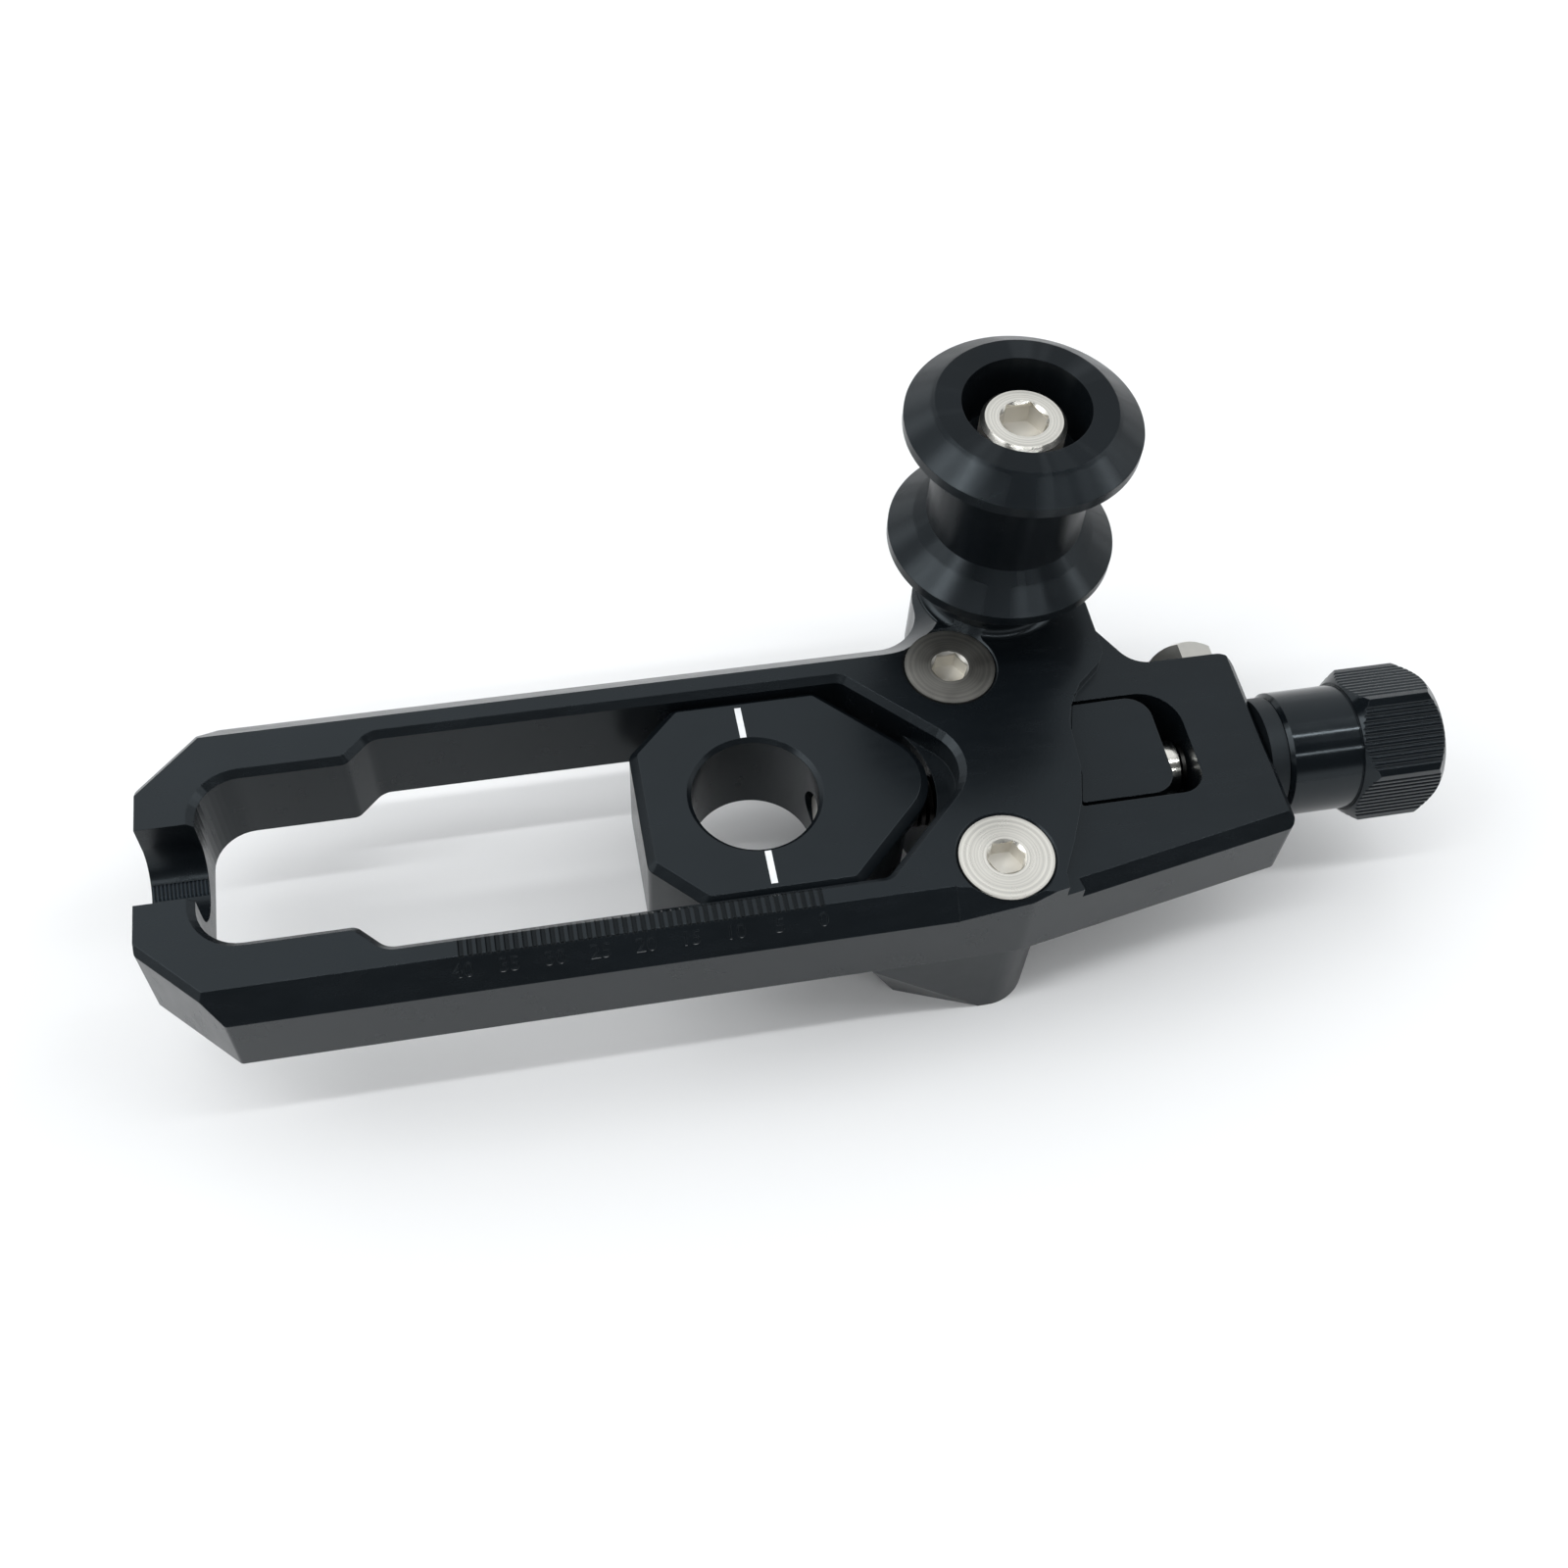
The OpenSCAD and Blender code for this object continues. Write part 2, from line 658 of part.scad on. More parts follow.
// The block that plugs into the end of the swingarm, behind the frame
module insert_outline() {
    leg_x = screw_x - insert_leg;
    foot_y = half_w - 0.2;
    for (side = [-1, 1])
        translate([screw_x, side * screw_y]) circle(r = insert_boss_r);
    polygon([[leg_x, -foot_y], [screw_x, -screw_y - insert_boss_r],
             [screw_x + insert_boss_r, -screw_y], [screw_x + insert_boss_r, screw_y],
             [screw_x, screw_y + insert_boss_r], [leg_x, foot_y]]);
}
module leg_slope(side) {
    leg_x = screw_x - insert_leg;
    // End face, leaning in towards the bottom
    translate([leg_x, 0, 0]) rotate([0, -insert_slope, 0])
        translate([-frame_w, -frame_w, -2 * insert_h]) cube([frame_w, 2 * frame_w, 3 * insert_h]);
    // Side face, leaning in towards the bottom and the end
    mirror([0, side < 0 ? 0 : 1, 0])
        translate([leg_x, -half_w, 0]) rotate([0, 0, -21.2]) rotate([21.8, 0, 0])
            translate([-frame_w, -frame_w, -2 * insert_h]) cube([2 * frame_w, frame_w, 3 * insert_h]);
}
module swingarm_insert() {
    thread_l = csk_l - frame_t + over;
    slot_gap = 0.3;
    color(black) difference() {
        translate([0, 0, -insert_h]) linear_extrude(insert_h) insert_outline();
        translate([0, 0, -insert_h - over]) linear_extrude(insert_h + 2 * over) intersection() {
            polygon(rounded(slot_corners, slot_gap));
            under_lip(-slot_gap, frame_left);
        }
        leg_slope(-1);
        leg_slope(1);
        for (side = [-1, 1])
            translate([screw_x, side * screw_y, -thread_l])
                cylinder(d = screw_d + 2 * thread_gap, h = thread_l + over);
    }
}

// A hexagonal socket of a given depth, sunk from z = 0 and chamfered at its mouth
module socket(af, depth) {
    mouth = 0.35;
    translate([0, 0, -depth]) hexagon(af, depth + over);
    translate([0, 0, -mouth]) cylinder(r1 = af / 2, r2 = af / 2 + mouth + over, h = mouth + over);
}

// A countersunk screw with a hexagonal socket, its head just below the frame's face
module countersunk_screw(y) {
    edge = 0.3;
    head_h = (csk_d - screw_d) / 2;
    top = frame_t - 0.05;
    color(steel) translate([screw_x, y, top]) difference() {
        rotate_extrude() polygon([[0, -csk_l], [screw_d / 2, -csk_l], [screw_d / 2, -head_h],
                                  [csk_d / 2 - edge, -edge], [csk_d / 2 - edge, 0], [0, 0]]);
        socket(csk_socket, csk_socket_l);
    }
}
module frame_screw_upper() { countersunk_screw(screw_y); }
module frame_screw_lower() { countersunk_screw(-screw_y); }

module spool() {
    r = spool_d / 2;
    l = spool_l;
    a = outer_cone_h;
    b = a + rim_t;
    c = b + inner_cone_h;
    color(black) translate([spool_x, spool_y, spool_z]) difference() {
        rotate_extrude() polygon([[0, 0], [face_d / 2, 0], [r, a], [r, b], [neck_d / 2, c],
            [neck_d / 2, l - c], [r, l - b], [r, l - a], [face_d / 2, l], [0, l]]);
        translate([0, 0, -over]) cylinder(r = screw_d / 2 + bolt_gap, h = l + 2 * over);
        translate([0, 0, l - counterbore_l]) cylinder(d = counterbore_d, h = counterbore_l + over);
    }
}

module spool_bolt() {
    edge = 0.5;
    color(bright_steel) translate([spool_x, spool_y, cap_seat]) difference() {
        union() {
            translate([0, 0, -cap_l]) cylinder(d = screw_d, h = cap_l);
            rotate_extrude() polygon([[0, 0], [cap_d / 2, 0], [cap_d / 2, cap_h - edge],
                                      [cap_d / 2 - edge, cap_h], [0, cap_h]]);
        }
        translate([0, 0, cap_h]) socket(cap_socket, cap_socket_l);
    }
}

frame();
axle_block();
index_marks();
draw_rod();
guide_bush();
bush_block();
adjuster_knob();
thrust_washer();
lock_bolt();
swingarm_insert();
frame_screw_upper();
frame_screw_lower();
spool();
spool_bolt();
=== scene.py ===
import math

import bpy
from mathutils import Euler, Matrix, Vector

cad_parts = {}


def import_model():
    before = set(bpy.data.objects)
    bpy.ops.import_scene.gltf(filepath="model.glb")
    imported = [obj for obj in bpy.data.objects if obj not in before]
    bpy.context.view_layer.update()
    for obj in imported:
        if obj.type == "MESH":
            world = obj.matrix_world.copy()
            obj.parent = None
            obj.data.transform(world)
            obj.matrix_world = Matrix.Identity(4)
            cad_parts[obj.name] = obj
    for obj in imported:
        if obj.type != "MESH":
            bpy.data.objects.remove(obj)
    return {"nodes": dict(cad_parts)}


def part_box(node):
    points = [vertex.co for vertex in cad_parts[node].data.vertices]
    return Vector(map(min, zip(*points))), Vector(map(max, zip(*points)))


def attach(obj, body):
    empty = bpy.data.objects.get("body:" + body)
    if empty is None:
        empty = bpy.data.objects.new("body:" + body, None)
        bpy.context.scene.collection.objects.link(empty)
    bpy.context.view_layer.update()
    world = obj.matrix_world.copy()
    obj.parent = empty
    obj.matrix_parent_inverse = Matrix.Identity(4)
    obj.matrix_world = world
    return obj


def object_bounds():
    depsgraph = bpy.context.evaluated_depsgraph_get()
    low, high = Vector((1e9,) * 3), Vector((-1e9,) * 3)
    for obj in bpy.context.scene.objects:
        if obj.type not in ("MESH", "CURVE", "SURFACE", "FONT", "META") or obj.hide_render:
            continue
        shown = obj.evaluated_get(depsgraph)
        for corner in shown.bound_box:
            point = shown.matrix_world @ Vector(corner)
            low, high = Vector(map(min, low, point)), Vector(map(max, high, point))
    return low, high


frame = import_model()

cad_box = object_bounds()
MM = 0.001
NODES = frame["nodes"]

# Camera, solved from the photograph's straight edges, circles and scale
CAMERA_MM = (-26.69, -113.80, 186.01)
CAMERA_TURN_DEG = (33.945, -2.732, -10.732)
LENS_MM = 41.47
SENSOR_MM = 36.0
CLIP_M = (0.005, 20.0)

# The floor lies under the insert, which carries the part; sizes in metres
FLOOR_Z = cad_box[0].z
FLOOR_SIZE = 2.2
FLOOR_ROUGH = 0.9

# The room's brightness from left to right, and from the camera's side to the back, and the
# x and y of a direction of length 1 between which each of them changes
ROOM_SIDE = (1.45, 0.85)
SIDE_REACH = (-0.25, 0.4)
ROOM_DEPTH = (0.10, 1.0)
DEPTH_REACH = (-0.25, 0.35)

# Below the first of these heights, as z of such a direction, the room is near white all
# round, and above the second it has the brightness given before
HORIZON = (0.14, 0.34)

# Each light's place and its two sides, in metres, and its power in watts
LIGHTS = {
    "ceiling_light": ((0, -0.10, 1.2), (1.6, 0.055), 4.6),
    "front_light": ((0, -0.82, 1.0), (1.6, 0.06), 3.0),
    "left_light": ((-1.2, 0, 1.0), (1.0, 1.0), 8.0),
    "right_light": ((1.2, 0, 1.0), (1.0, 1.0), 7.0),
}

# Linear colours
BLACK = (0.0034, 0.0046, 0.0058)
SHEEN = (0.84, 0.94, 1.0)
STEEL = (0.55, 0.53, 0.49)
BRIGHT = (1.0, 0.96, 0.88)
# The draw rod's painted shade beyond the block
SHADED_ROD = (0.035, 0.034, 0.032)
ROOM_TINT = (0.94, 0.975, 1.0)
FLOOR = (0.872, 0.856, 0.846)
WHITE = (0.85, 0.85, 0.85)

# How bright a colour becomes in places, as a multiple of itself
CLOUDED_BLACK = 1.3
# In the ticks' cuts the black is darkened as painted shade, and on the thread's crests lightened
# as painted glints
CUT_SHADE = 0.4
CREST_GLINT = 9
CLOUDED_STEEL = 0.92
RING_STEEL = 0.78
SOCKET_SHADE = 0.7
CLOUDED_PAINT = 0.88
GLINT = 0.3

# Noise, in waves per metre
CLOUD = 90.0
SMEAR = 160.0
SMEAR_SQUEEZE = (1.0, 4.0, 1.0)
BLASTED = 5200.0
PLATED = 700.0
POLISHED = 4000.0
PAINTED = 900.0

# The values of a noise between which a surface changes
NOISE_SPAN = (0.3, 0.7)
CLOUD_SPAN = (0.35, 0.65)
RING_SPAN = (0.4, 0.62)
STREAK_SPAN = (0.42, 0.66)

# How far the roughness goes below and above its given value
BLACK_VARIES = (-0.03, 0.04)
STEEL_VARIES = (-0.02, 0.03)

# Depths of the relief that the materials draw, and the worn edges' radius, in metres
BLASTED_DEPTH = 0.00002
POLISHED_DEPTH = 0.00003
ENGRAVED_DEPTH = 0.0004
ROD_THREAD_DEPTH = 0.0003
EDGE_RADIUS = 0.00012

# The strength of the fine relief, and the weights of grain and rings in a turned steel's
BLASTED_STRENGTH = 0.10
POLISHED_STRENGTH = 0.12
GRAIN_WEIGHT = 0.1
RING_WEIGHT = 2.0

# The gloss of the anodised pieces, in the cut ticks, and from least to most round the spool
GLOSS = 0.33
CUT_GLOSS = 0.2
SPOOL_GLOSS = (0.16, 0.46)

# Streaks round the spool
STREAKS = 1.5            # in waves per radian
STREAK_RIM = (0.78, 0.8) # shares of the spool's radius between which the rim starts
STREAK_INSIDE = 0.8      # strength inside the rim, which itself has 1

# Turning marks: waves per mm of radius, and how strongly each kind of piece shows them
RINGS = 3.0
TURNED_BLACK = 0.85
TURNED_STEEL = 0.5

# The engraved scale on the lower rail, in mm
TICK_FIRST = -35.45
TICK_PITCH = 1.0
TICKS = 41
TICK_HALF = (0.16, 0.30)
TICK_Y = (-16.9, -14.3)
TICK_Z = (11.5, 11.55)
STRIP_OVER = 0.5
RAIL_HALF = 19.75
RAIL_TOP = 12.0
RAIL_BEVEL = 3.0

# The numbers on the rail's bevel, in mm; the photo's digits look cut and shine along their
# lower edge, so a bright line is drawn there on these raised ones
NUMBER_STEP = 5          # in ticks
NUMBER_H = 1.7
NUMBER_DOWN = 2.45
NUMBER_RAISED = 0.03
GLINT_HALF = 0.08
DIGIT_SHARE = 0.7        # a digit's height as a share of the font's size

# The threaded floor of the end notch, in mm
THREAD_X = (-71.0, -63.6)
THREAD_Y = (0.8, 3.7)
THREAD_Z = (2.9, 3.75)
THREAD_PITCH = 0.45
THREAD_FADE = (0.3, 0.15)

# The screws' sockets are bright down to the first depth, and dull and darkened as painted shade
# below the second, in mm
SOCKET_MOUTH = (0.35, 0.65)
SOCKET_ROUGH = 0.5

# Each socket screw's brightness and roughness. The two frame screws are of one steel, and the
# upper one's lower brightness is painted shade
SCREWS = {
    "frame_screw_upper": (0.42, 0.4),
    "frame_screw_lower": (0.8, 0.28),
    "spool_bolt": (0.82, 0.25),
}

# The draw rod keeps its steel colour as far as the block and is darkened beyond it as painted
# shade, in mm
ROD_SHADE_EDGE = (9.0, 10.0)
ROD_PITCH = 1.0


def toned(colour, factor):
    """The colour made darker, or brighter by a factor over 1."""
    return tuple(c * factor for c in colour)


def centre(node):
    """The middle of a node's box, in mm."""
    lo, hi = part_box(node)
    return tuple((a + b) / 2 / MM for a, b in zip(lo, hi))


def camera():
    data = bpy.data.cameras.new("camera")
    data.lens = LENS_MM
    data.sensor_width = SENSOR_MM
    data.sensor_fit = "HORIZONTAL"
    data.clip_start, data.clip_end = CLIP_M
    cam = bpy.data.objects.new("camera", data)
    bpy.context.collection.objects.link(cam)
    cam.location = Vector(CAMERA_MM) * MM
    cam.rotation_euler = Euler([math.radians(a) for a in CAMERA_TURN_DEG], "XYZ")
    bpy.context.scene.camera = cam


class Graph:
    """A short way to write a material's nodes."""

    def __init__(self, name):
        self.material = bpy.data.materials.new(name)
        self.material.use_nodes = True
        self.tree = self.material.node_tree
        self.tree.nodes.clear()
        self.shader = self.add("ShaderNodeBsdfPrincipled")
        out = self.add("ShaderNodeOutputMaterial")
        self.link(self.shader.outputs[0], out.inputs[0])

    def add(self, kind, **values):
        node = self.tree.nodes.new(kind)
        for key, value in values.items():
            setattr(node, key, value)
        return node

    def link(self, a, b):
        self.tree.links.new(a, b)

    def set(self, **values):
        """Gives the shader constant values, as in Roughness=0.4."""
        for key, value in values.items():
            self.shader.inputs[key.replace("_", " ")].default_value = value

    def feed(self, **sources):
        """Gives the shader values that change over the surface."""
        for key, source in sources.items():
            self.link(source, self.shader.inputs[key.replace("_", " ")])

    def place(self):
        """Where a point lies on the part, in metres; it moves with the piece."""
        return self.add("ShaderNodeTexCoord").outputs["Object"]

    def axes(self):
        """The same place as x, y and z, in mm."""
        node = self.add("ShaderNodeSeparateXYZ")
        self.link(self.scaled(self.place(), (1 / MM,) * 3), node.inputs[0])
        return node.outputs

    def away(self, point):
        """The distance in mm from an upright axis through the point, and the angle round it."""
        near = [self.math("SUBTRACT", c, p) for c, p in zip(self.axes(), point[:2])]
        squares = [self.math("POWER", c, 2.0) for c in near]
        return self.math("POWER", self.math("ADD", *squares), 0.5), self.math("ARCTAN2", *near)

    def scaled(self, source, scale):
        node = self.add("ShaderNodeVectorMath", operation="MULTIPLY")
        self.link(source, node.inputs[0])
        node.inputs[1].default_value = scale
        return node.outputs[0]

    def math(self, operation, *sources):
        node = self.add("ShaderNodeMath", operation=operation)
        for socket, source in zip(node.inputs, sources):
            if isinstance(source, (int, float)):
                socket.default_value = source
            else:
                self.link(source, socket)
        return node.outputs[0]

    def times(self, *sources):
        return self.math("MULTIPLY", *sources)

    def inverse(self, source):
        return self.math("SUBTRACT", 1.0, source)

    def noise(self, source, scale, detail=3.0, rough=0.5):
        node = self.add("ShaderNodeTexNoise")
        node.inputs["Scale"].default_value = scale
        node.inputs["Detail"].default_value = detail
        node.inputs["Roughness"].default_value = rough
        self.link(source, node.inputs["Vector"])
        return node.outputs["Fac"]

    def noise_along(self, source, scale, detail):
        """Noise that changes with one number only."""
        node = self.add("ShaderNodeTexNoise", noise_dimensions="1D")
        node.inputs["Scale"].default_value = scale
        node.inputs["Detail"].default_value = detail
        self.link(source, node.inputs["W"])
        return node.outputs["Fac"]

    def ramp(self, source, low, high, a=0.0, b=1.0):
        """From a to b while the source goes from low to high, and level outside."""
        node = self.add("ShaderNodeMapRange")
        for name, value in (("From Min", low), ("From Max", high), ("To Min", a), ("To Max", b)):
            node.inputs[name].default_value = value
        self.link(source, node.inputs["Value"])
        return node.outputs["Result"]

    def window(self, source, low, high, soft=0.05):
        """1 from low to high, and 0 outside."""
        return self.times(self.ramp(source, low, low + soft),
                          self.ramp(source, high - soft, high, 1.0, 0.0))

    def ridges(self, source, start, pitch, low, high):
        """0 at start and at each pitch from it, and 1 between, over the distances low to high."""
        near = self.math("PINGPONG", self.math("SUBTRACT", source, start), pitch / 2)
        return self.ramp(near, low, high)

    def blend(self, fac, a, b):
        node = self.add("ShaderNodeMix", data_type="RGBA")
        for name, value in (("A", a), ("B", b)):
            if isinstance(value, tuple):
                node.inputs[name].default_value = (*value, 1)
            else:
                self.link(value, node.inputs[name])
        self.link(fac, node.inputs["Factor"])
        return node.outputs["Result"]

    def bump(self, height, strength, distance, before=None):
        node = self.add("ShaderNodeBump")
        node.inputs["Strength"].default_value = strength
        node.inputs["Distance"].default_value = distance
        self.link(height, node.inputs["Height"])
        if before is not None:
            self.link(before, node.inputs["Normal"])
        return node.outputs["Normal"]

    def worn_edges(self):
        """Rounds the sharp edges of the surface, so that they catch the light."""
        node = self.add("ShaderNodeBevel", samples=6)
        node.inputs["Radius"].default_value = EDGE_RADIUS
        return node.outputs["Normal"]

    def turned(self, axis, amount):
        """A sheen across turning marks that run round the given axis."""
        node = self.add("ShaderNodeTangent", direction_type="RADIAL", axis=axis)
        self.link(node.outputs[0], self.shader.inputs["Tangent"])
        self.set(Anisotropic=amount, Anisotropic_Rotation=0.25)

    def streaks(self, node):
        """A sheen that comes and goes round a piece turned about Z, mostly on its outer cones."""
        lo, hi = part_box(node)
        rim = (hi.x - lo.x) / 2 / MM
        radius, angle = self.away(centre(node))
        inner, outer = (share * rim for share in STREAK_RIM)
        streak = self.times(self.noise_along(angle, STREAKS, 2.0),
                            self.ramp(radius, inner, outer, STREAK_INSIDE, 1.0))
        self.feed(Specular_IOR_Level=self.ramp(streak, *STREAK_SPAN, *SPOOL_GLOSS))


def anodised(name, rough, grain=1.0):
    """Black anodised aluminium: a dark dyed oxide layer with a fine blasted grain."""
    g = Graph(name)
    p = g.place()
    cloud = g.noise(p, CLOUD, 3.0)
    smear = g.noise(g.scaled(p, SMEAR_SQUEEZE), SMEAR, 4.0, 0.65)
    g.colour = g.blend(g.ramp(cloud, *CLOUD_SPAN), BLACK, toned(BLACK, CLOUDED_BLACK))
    blasted = g.noise(p, BLASTED, 2.0, 0.6)
    g.normal = g.bump(blasted, BLASTED_STRENGTH * grain, BLASTED_DEPTH, g.worn_edges())
    g.feed(Base_Color=g.colour, Normal=g.normal,
           Roughness=g.ramp(smear, *NOISE_SPAN, *(rough + v for v in BLACK_VARIES)))
    g.set(Specular_IOR_Level=GLOSS, Specular_Tint=(*SHEEN, 1))
    return g


def engrave(g):
    """The scale's ticks along the lower rail, and the threaded floor of the end notch, with
    painted shade in the cuts and painted glints on the crests.
    """
    x, y, z = g.axes()
    last = TICK_FIRST + (TICKS - 1) * TICK_PITCH
    strip = g.times(g.window(x, TICK_FIRST - STRIP_OVER, last + STRIP_OVER),
                    g.window(y, *TICK_Y))
    strip = g.times(strip, g.ramp(z, *TICK_Z))
    ticks = g.ridges(x, TICK_FIRST, TICK_PITCH, *TICK_HALF)
    cut = g.times(strip, g.inverse(ticks))

    fade_y, fade_z = THREAD_FADE
    band = g.times(g.window(x, *THREAD_X), g.window(y, *THREAD_Y, fade_y))
    band = g.times(band, g.window(z, *THREAD_Z, fade_z))
    thread = g.times(band, g.ridges(x, 0.0, THREAD_PITCH, 0.0, THREAD_PITCH / 2))
    crest = g.times(band, g.inverse(thread))

    height = g.math("SUBTRACT", 0.0, g.math("ADD", cut, thread))
    # Painted shade darkens the cut ticks, and painted glints lighten the thread's crests
    shade = g.blend(cut, g.colour, toned(BLACK, CUT_SHADE))
    g.feed(Base_Color=g.blend(crest, shade, toned(BLACK, CREST_GLINT)),
           Specular_IOR_Level=g.ramp(cut, 0.0, 1.0, GLOSS, CUT_GLOSS),
           Normal=g.bump(height, 1.0, ENGRAVED_DEPTH, g.normal))


def digits():
    """The numbers' material, with a glint along their lower edge."""
    g = anodised("black_engraved", 0.12)
    low = RAIL_TOP - NUMBER_DOWN * math.sqrt(0.5)
    glint = g.window(g.axes()[2], low - GLINT_HALF, low + GLINT_HALF)
    g.feed(Base_Color=g.blend(glint, g.colour, toned(WHITE, GLINT)))
    return g.material


def steel(name, colour, rough, turn=None):
    """Plated or polished steel, with turning rings if a point on its axis is given."""
    g = Graph(name)
    p = g.place()
    cloud = g.noise(p, PLATED, 4.0)
    height = g.noise(p, POLISHED)
    g.rough = g.ramp(cloud, *NOISE_SPAN, *(rough + v for v in STEEL_VARIES))
    if turn is None:
        g.colour = g.blend(g.ramp(cloud, *NOISE_SPAN), toned(colour, CLOUDED_STEEL), colour)
    else:
        rings = g.noise_along(g.away(turn)[0], RINGS, 5.0)
        height = g.math("ADD", g.times(height, GRAIN_WEIGHT), g.times(rings, RING_WEIGHT))
        g.colour = g.blend(g.ramp(rings, *RING_SPAN), toned(colour, RING_STEEL), colour)
        g.turned("Z", TURNED_STEEL)
    g.normal = g.bump(height, POLISHED_STRENGTH, POLISHED_DEPTH)
    g.feed(Base_Color=g.colour, Roughness=g.rough, Normal=g.normal)
    g.set(Metallic=1.0)
    return g


def socket_screw(node, shade, rough):
    """A turned screw head whose forged socket is dull, and darkened inside as painted shade."""
    g = steel("steel_" + node, toned(BRIGHT, shade), rough, centre(node))
    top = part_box(node)[1].z / MM
    mouth, deep = (top - depth for depth in SOCKET_MOUTH)
    inside = g.ramp(g.axes()[2], deep, mouth, 1.0, 0.0)
    g.feed(Base_Color=g.blend(inside, g.colour, toned(BRIGHT, SOCKET_SHADE)),
           Roughness=g.math("MAXIMUM", g.rough, g.times(inside, SOCKET_ROUGH)))
    return g


def rod():
    """Steel rod, bright at its end in the bore, with its thread darkened beyond the block as
    painted shade.
    """
    g = steel("threaded_steel", STEEL, 0.3)
    x = g.axes()[0]
    thread = g.ridges(x, 0.0, ROD_PITCH, 0.0, ROD_PITCH / 2)
    g.feed(Base_Color=g.blend(g.ramp(x, *ROD_SHADE_EDGE), g.colour, SHADED_ROD),
           Normal=g.bump(thread, 1.0, ROD_THREAD_DEPTH, g.normal))
    return g


def paint(name, colour):
    g = Graph(name)
    cloud = g.ramp(g.noise(g.place(), PAINTED), *NOISE_SPAN)
    g.feed(Base_Color=g.blend(cloud, toned(colour, CLOUDED_PAINT), colour))
    g.set(Roughness=0.5)
    return g


def dress(g, *nodes):
    for node in nodes:
        data = NODES[node].data
        data.materials.clear()
        data.materials.append(g.material)


def materials():
    body = anodised("black_satin", 0.25)
    engrave(body)
    dress(body, "frame")
    dress(anodised("black_insert", 0.34), "swingarm_insert")
    dress(anodised("black_milled", 0.24), "axle_block", "bush_block")
    dress(anodised("black_plastic", 0.5, 2.0), "thrust_washer")

    spool = anodised("black_turned_spool", 0.24)
    spool.turned("Z", TURNED_BLACK)
    spool.streaks("spool")
    dress(spool, "spool")
    knob = anodised("black_turned_knob", 0.15)
    knob.turned("X", TURNED_BLACK)
    dress(knob, "adjuster_knob")

    for node, (shade, rough) in SCREWS.items():
        dress(socket_screw(node, shade, rough), node)
    dress(steel("zinc_steel", STEEL, 0.3), "lock_bolt")
    dress(steel("bright_steel", BRIGHT, 0.16), "guide_bush")
    dress(rod(), "draw_rod")
    dress(paint("white_fill", WHITE), "index_marks")


def numbers(material):
    """The scale's numbers, on the lower rail's bevel below every fifth tick."""
    curve = bpy.data.curves.new("scale_numbers", "FONT")
    curve.size = NUMBER_H / DIGIT_SHARE
    curve.align_x = "CENTER"
    curve.extrude = NUMBER_RAISED
    curve.resolution_u = 3
    graph = bpy.context.evaluated_depsgraph_get()
    verts, faces = [], []
    down = Vector((0, -1, -1)).normalized()
    out = Vector((0, -1, 1)).normalized()
    edge = Vector((0, -RAIL_HALF + RAIL_BEVEL, RAIL_TOP))
    for i in range(0, TICKS, NUMBER_STEP):
        curve.body = str(TICKS - 1 - i)
        holder = bpy.data.objects.new("number", curve)
        bpy.context.collection.objects.link(holder)
        graph.update()
        mesh = holder.evaluated_get(graph).to_mesh()
        first = len(verts)
        base = edge + Vector((TICK_FIRST + i * TICK_PITCH, 0, 0)) + down * NUMBER_DOWN
        for v in mesh.vertices:
            verts.append((base + Vector((v.co.x, 0, 0)) - down * v.co.y + out * v.co.z) * MM)
        faces += [tuple(first + k for k in f.vertices) for f in mesh.polygons]
        holder.to_mesh_clear()
        bpy.data.objects.remove(holder)
    bpy.data.curves.remove(curve)
    mesh = bpy.data.meshes.new("scale_numbers")
    mesh.from_pydata(verts, [], faces)
    mesh.materials.append(material)
    piece = bpy.data.objects.new("scale_numbers", mesh)
    bpy.context.collection.objects.link(piece)
    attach(piece, "frame")


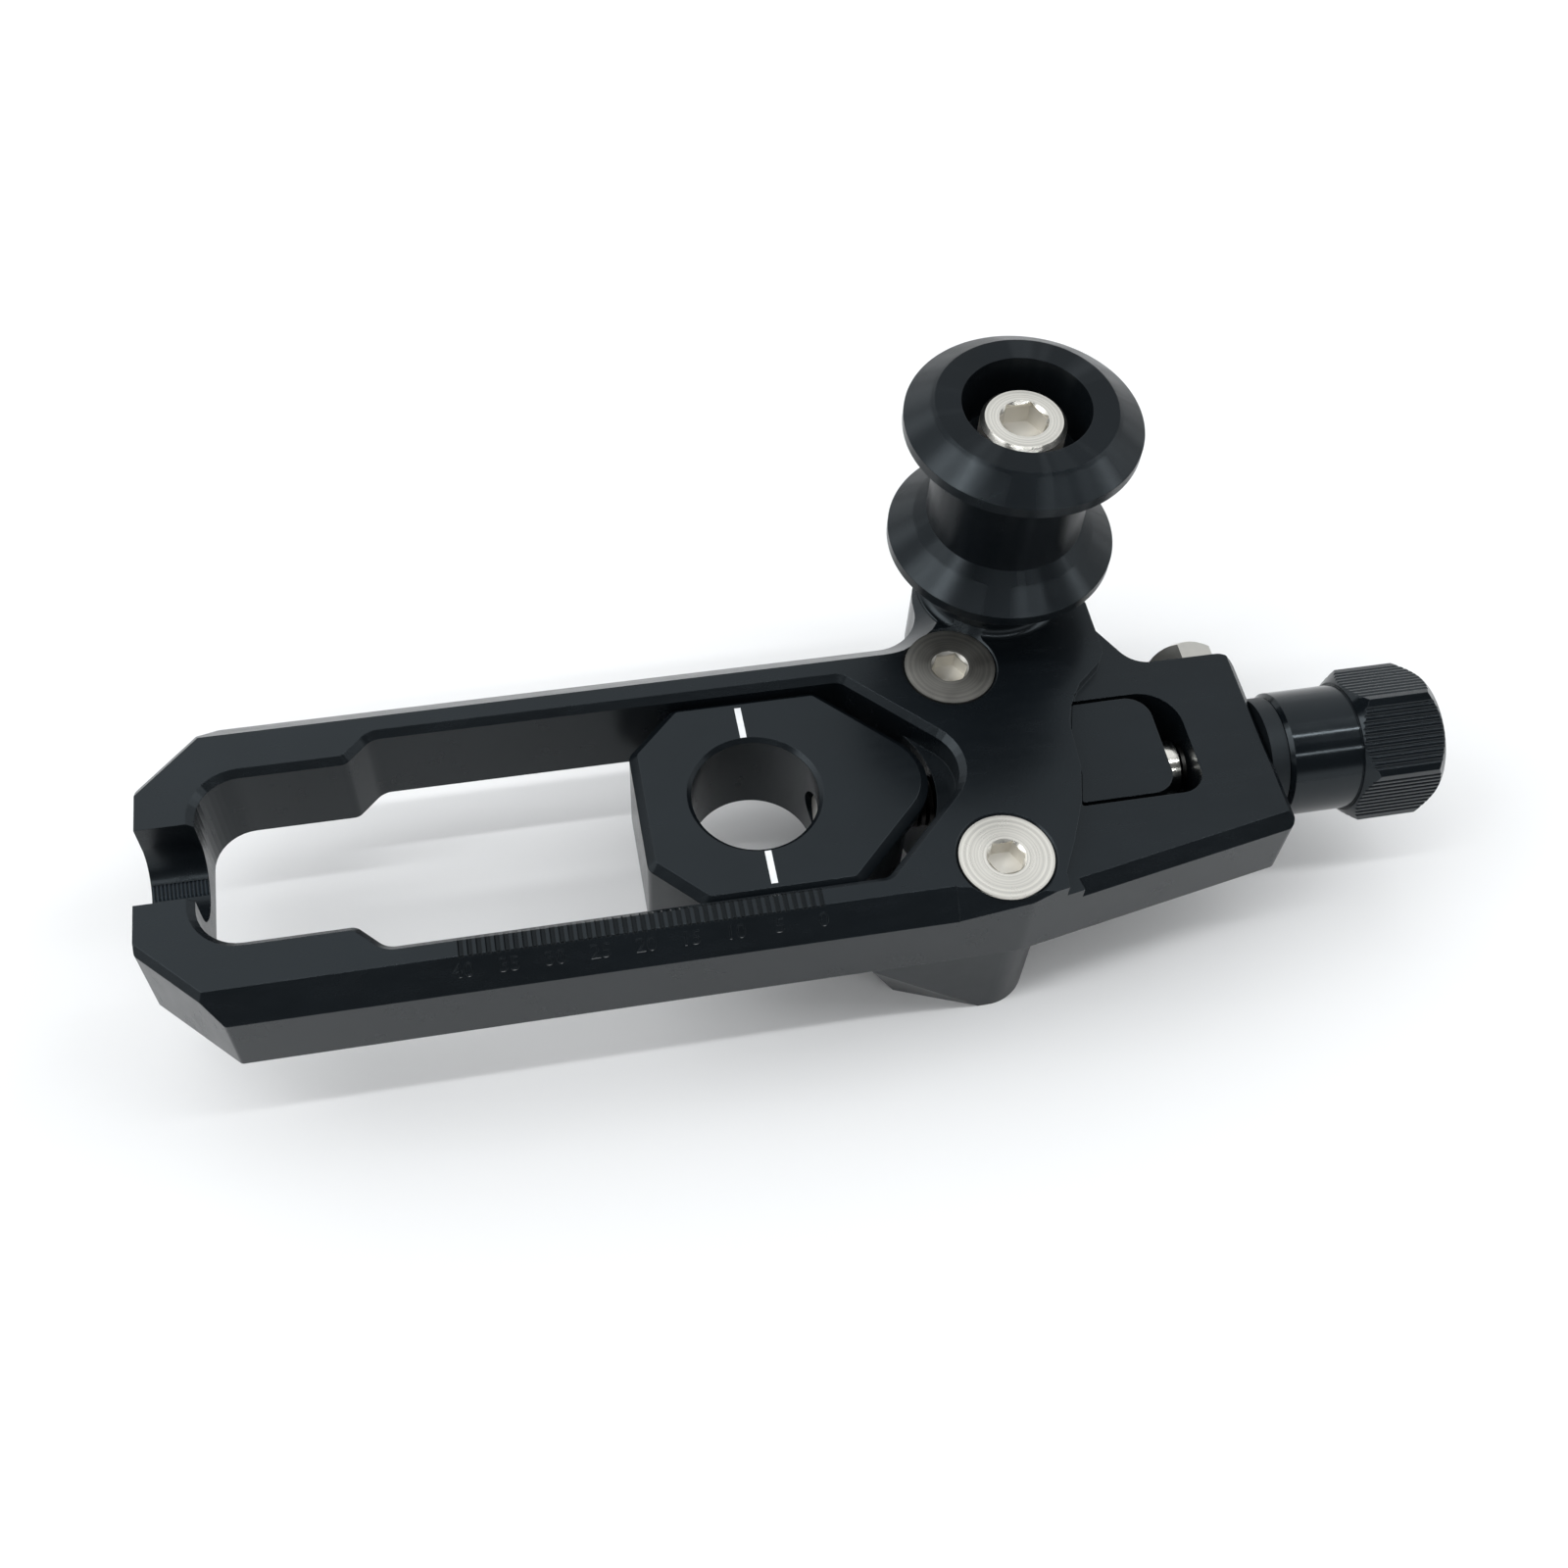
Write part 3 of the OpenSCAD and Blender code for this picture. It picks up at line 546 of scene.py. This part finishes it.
def floor():
    mesh = bpy.data.meshes.new("floor")
    h = FLOOR_SIZE / 2
    corners = [(-h, -h), (h, -h), (h, h), (-h, h)]
    mesh.from_pydata([(x, y, FLOOR_Z) for x, y in corners], [], [(0, 1, 2, 3)])
    plane = bpy.data.objects.new("floor", mesh)
    bpy.context.collection.objects.link(plane)
    g = Graph("floor")
    g.set(Base_Color=(*FLOOR, 1), Roughness=FLOOR_ROUGH, Specular_IOR_Level=0.0)
    mesh.materials.append(g.material)


def light(name, place, size, power):
    """A flat light that faces the part. Its first side lies along X, or along Y at a side."""
    data = bpy.data.lights.new(name, "AREA")
    data.shape = "RECTANGLE"
    data.size, data.size_y = size
    data.energy = power
    data.color = ROOM_TINT
    lamp = bpy.data.objects.new(name, data)
    bpy.context.collection.objects.link(lamp)
    back = Vector(place).normalized()
    along = Vector((0, 1, 0))
    if place[0] == 0:
        along = along.cross(back).normalized()
    turn = Matrix((along, back.cross(along), back)).transposed().to_4x4()
    lamp.matrix_world = Matrix.Translation(place) @ turn


def world():
    """A plain room, near white at the horizon; above, darker towards the camera and the right."""
    w = bpy.data.worlds.new("world")
    bpy.context.scene.world = w
    w.use_nodes = True
    t = w.node_tree
    t.nodes.clear()

    def add(kind, *sources, **values):
        node = t.nodes.new(kind)
        for key, value in values.items():
            setattr(node, key, value)
        for socket, source in zip(node.inputs, sources):
            if isinstance(source, (int, float)):
                socket.default_value = source
            else:
                t.links.new(source, socket)
        return node.outputs

    def ramp(source, *limits):
        return add("ShaderNodeMapRange", source, *limits, interpolation_type="SMOOTHSTEP")[0]

    def maths(operation, *sources):
        return add("ShaderNodeMath", *sources, operation=operation)[0]

    way = add("ShaderNodeSeparateXYZ", add("ShaderNodeTexCoord")["Generated"])
    side = ramp(way[0], *SIDE_REACH, *ROOM_SIDE)
    depth = ramp(way[1], *DEPTH_REACH, *ROOM_DEPTH)
    graded = maths("SUBTRACT", maths("MULTIPLY", side, depth), 1.0)
    above = ramp(way[2], *HORIZON, 0.0, 1.0)
    room = t.nodes.new("ShaderNodeBackground")
    room.inputs["Color"].default_value = (*ROOM_TINT, 1)
    t.links.new(maths("MULTIPLY_ADD", graded, above, 1.0), room.inputs["Strength"])
    out = t.nodes.new("ShaderNodeOutputWorld")
    t.links.new(room.outputs[0], out.inputs[0])


camera()
materials()
numbers(digits())
floor()
world()
for name, (place, size, power) in LIGHTS.items():
    light(name, place, size, power)

bpy.context.scene.view_settings.view_transform = "Standard"
